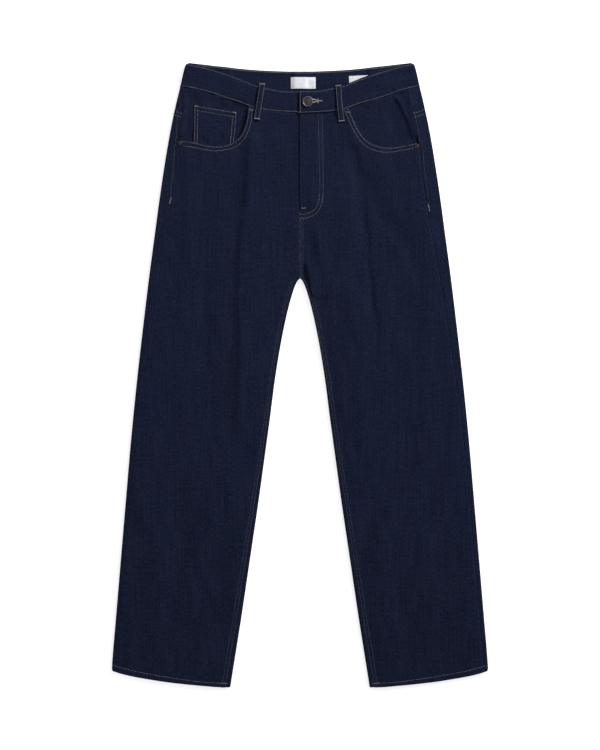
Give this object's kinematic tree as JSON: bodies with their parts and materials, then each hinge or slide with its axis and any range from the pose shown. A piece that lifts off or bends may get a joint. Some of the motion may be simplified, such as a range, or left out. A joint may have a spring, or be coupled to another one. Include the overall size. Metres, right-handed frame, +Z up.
{
  "type": "pair of tapered jeans, laid flat",
  "caption": "High-waisted dark denim jeans with wide thighs that taper to narrow hems, laid flat on their back with the front up and the waist closed.",
  "frame": {"origin": "on the surface that the jeans lie on, under the middle of their length and width", "axes": "+Y from the hems to the waist, +Z up out of the front of the jeans, +X to the right of someone who looks down at them"},
  "size_m": [0.6204, 1.0299, 0.0117],
  "materials": {
    "denim": "matte dark indigo twill with a fine slubby grain",
    "zip_tape": "matte woven tape",
    "label_cloth": "smooth white woven label, blank",
    "button_metal": "dark antique bronze, satin",
    "rivet_metal": "antique copper, worn"
  },
  "bodies": {
    "root": {"front_left": "denim", "front_right": "denim", "back_left": "denim", "back_right": "denim", "yoke_left": "denim", "yoke_right": "denim", "waistband": "denim", "pocket_facing_left": "denim", "pocket_facing_right": "denim", "coin_pocket": "denim", "back_pocket_left": "denim", "back_pocket_right": "denim", "belt_loop_front_left": "denim", "belt_loop_front_right": "denim", "belt_loop_back_left": "denim", "belt_loop_back_centre": "denim", "belt_loop_back_right": "denim", "zip_tape": "zip_tape", "zip_slider": "button_metal", "button": "button_metal", "rivet_left": "rivet_metal", "rivet_right": "rivet_metal", "label_centre": "label_cloth", "label_side": "label_cloth"}
  },
  "joints": []
}
